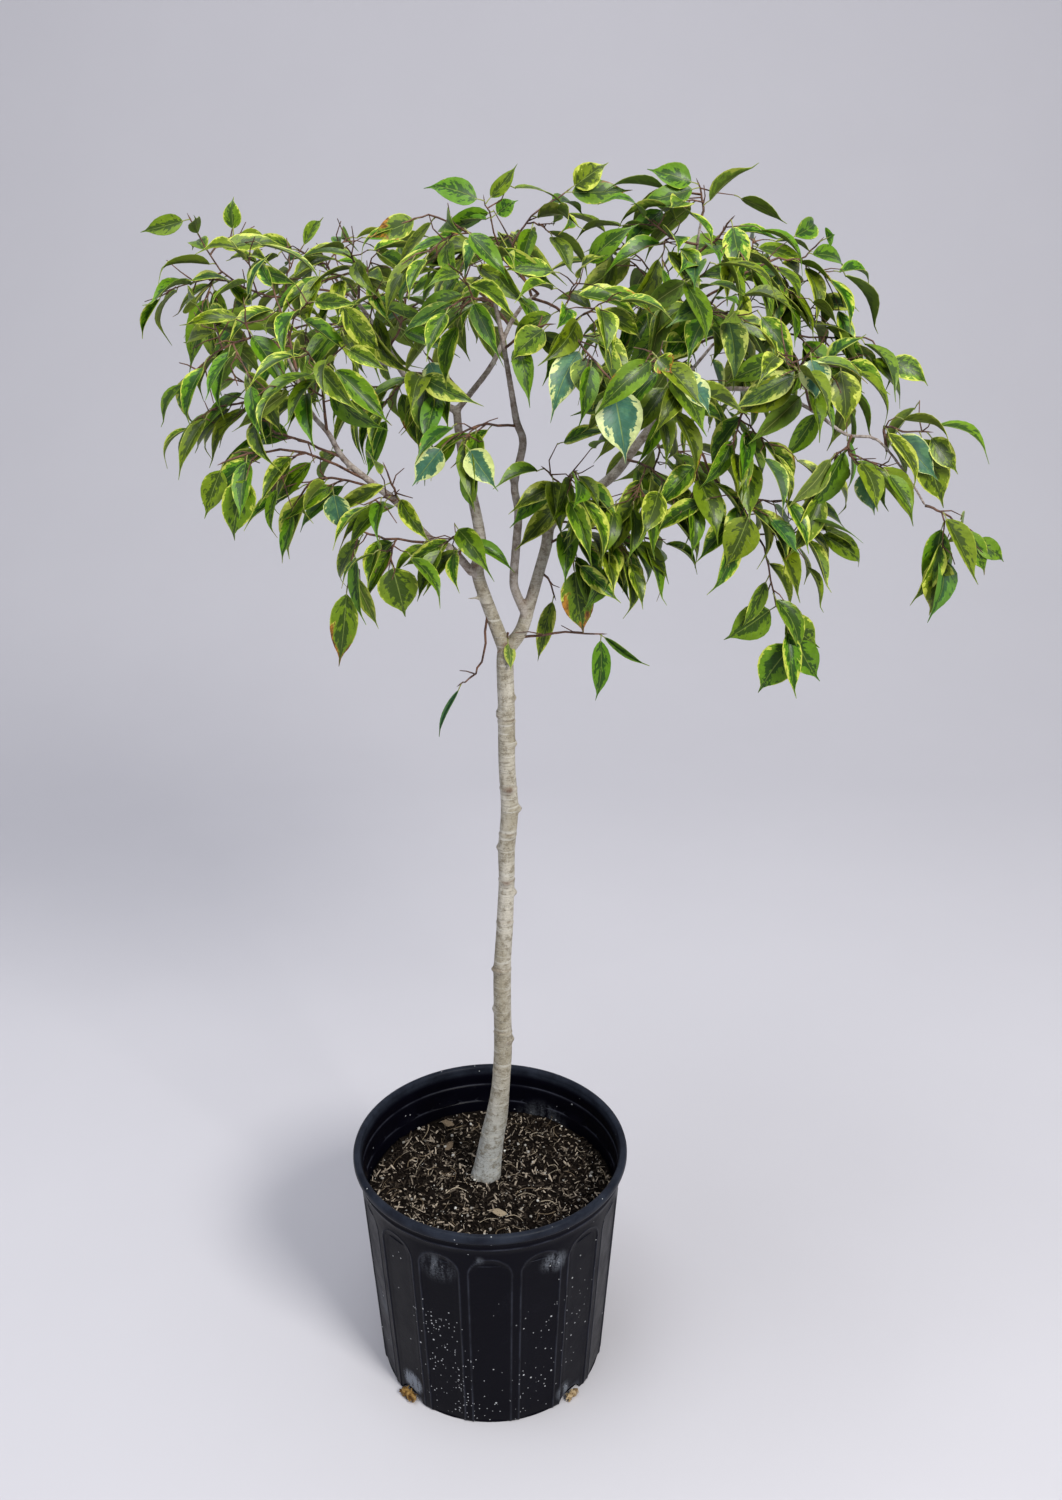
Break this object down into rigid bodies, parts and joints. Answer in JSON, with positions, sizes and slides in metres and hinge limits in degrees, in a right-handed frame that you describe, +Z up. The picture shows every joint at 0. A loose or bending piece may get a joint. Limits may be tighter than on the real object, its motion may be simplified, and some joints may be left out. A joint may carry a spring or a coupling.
{
  "type": "potted standard ficus",
  "caption": "Small weeping fig grown as a standard: a bare slim trunk, forked under an open crown of drooping pointed leaves, in a round black nursery pot full of soil.",
  "frame": {"origin": "middle of the pot's base, on the floor", "axes": "+Z up along the trunk; -Y is the front, towards the viewer; +X is the viewer's right"},
  "size_m": [0.6852, 0.4261, 1.1501],
  "materials": {
    "black_plastic": "black moulded plastic, half glossy, with dusty lime marks",
    "peat": "dark peat and bark mix with fibres and white grains, rough",
    "grey_bark": "smooth grey-beige bark with fine rings and pores",
    "leaf_green": "glossy green leaves with cream margins, on thin reddish-brown twigs",
    "bark_flake": "dry bark flakes, rough",
    "fibre": "dry roots and fibre, tan to cream"
  },
  "bodies": {
    "root": {"bark_chip_1": "bark_flake", "bark_chip_2": "bark_flake", "bark_chip_3": "bark_flake", "nursery_pot": "black_plastic", "potting_soil": "peat", "root_tuft_left": "fibre", "root_tuft_right": "fibre", "shoot_arm_end": "leaf_green", "shoot_arm_front": "leaf_green", "shoot_arm_low": "leaf_green", "shoot_arm_outer": "leaf_green", "shoot_arm_under": "leaf_green", "shoot_centre_back": "leaf_green", "shoot_dark_inner": "leaf_green", "shoot_far_left": "leaf_green", "shoot_far_right": "leaf_green", "shoot_fork_hanging": "leaf_green", "shoot_front_middle": "leaf_green", "shoot_hanging": "leaf_green", "shoot_left_back_end": "leaf_green", "shoot_left_back_inner": "leaf_green", "shoot_left_crown_front": "leaf_green", "shoot_left_crown_mid": "leaf_green", "shoot_left_crown_right": "leaf_green", "shoot_left_front": "leaf_green", "shoot_left_hanging": "leaf_green", "shoot_left_inner": "leaf_green", "shoot_left_limb_end": "leaf_green", "shoot_left_limb_mid": "leaf_green", "shoot_left_limb_top": "leaf_green", "shoot_left_low": "leaf_green", "shoot_left_low_inner": "leaf_green", "shoot_left_outer": "leaf_green", "shoot_left_side": "leaf_green", "shoot_left_top": "leaf_green", "shoot_limb_back": "leaf_green", "shoot_limb_hanging": "leaf_green", "shoot_limb_long": "leaf_green", "shoot_limb_under": "leaf_green", "shoot_low_left": "leaf_green", "shoot_low_right": "leaf_green", "shoot_middle_front": "leaf_green", "shoot_middle_leaf": "leaf_green", "shoot_middle_right": "leaf_green", "shoot_reddish": "leaf_green", "shoot_right_back_end": "leaf_green", "shoot_right_back_inner": "leaf_green", "shoot_right_front": "leaf_green", "shoot_right_inner": "leaf_green", "shoot_right_top": "leaf_green", "shoot_right_top_left": "leaf_green", "shoot_right_top_right": "leaf_green", "shoot_right_upper_left": "leaf_green", "shoot_stem_front": "leaf_green", "shoot_top_left": "leaf_green", "shoot_top_middle": "leaf_green", "shoot_upper_right": "leaf_green", "trunk_and_branches": "grey_bark"}
  },
  "joints": []
}
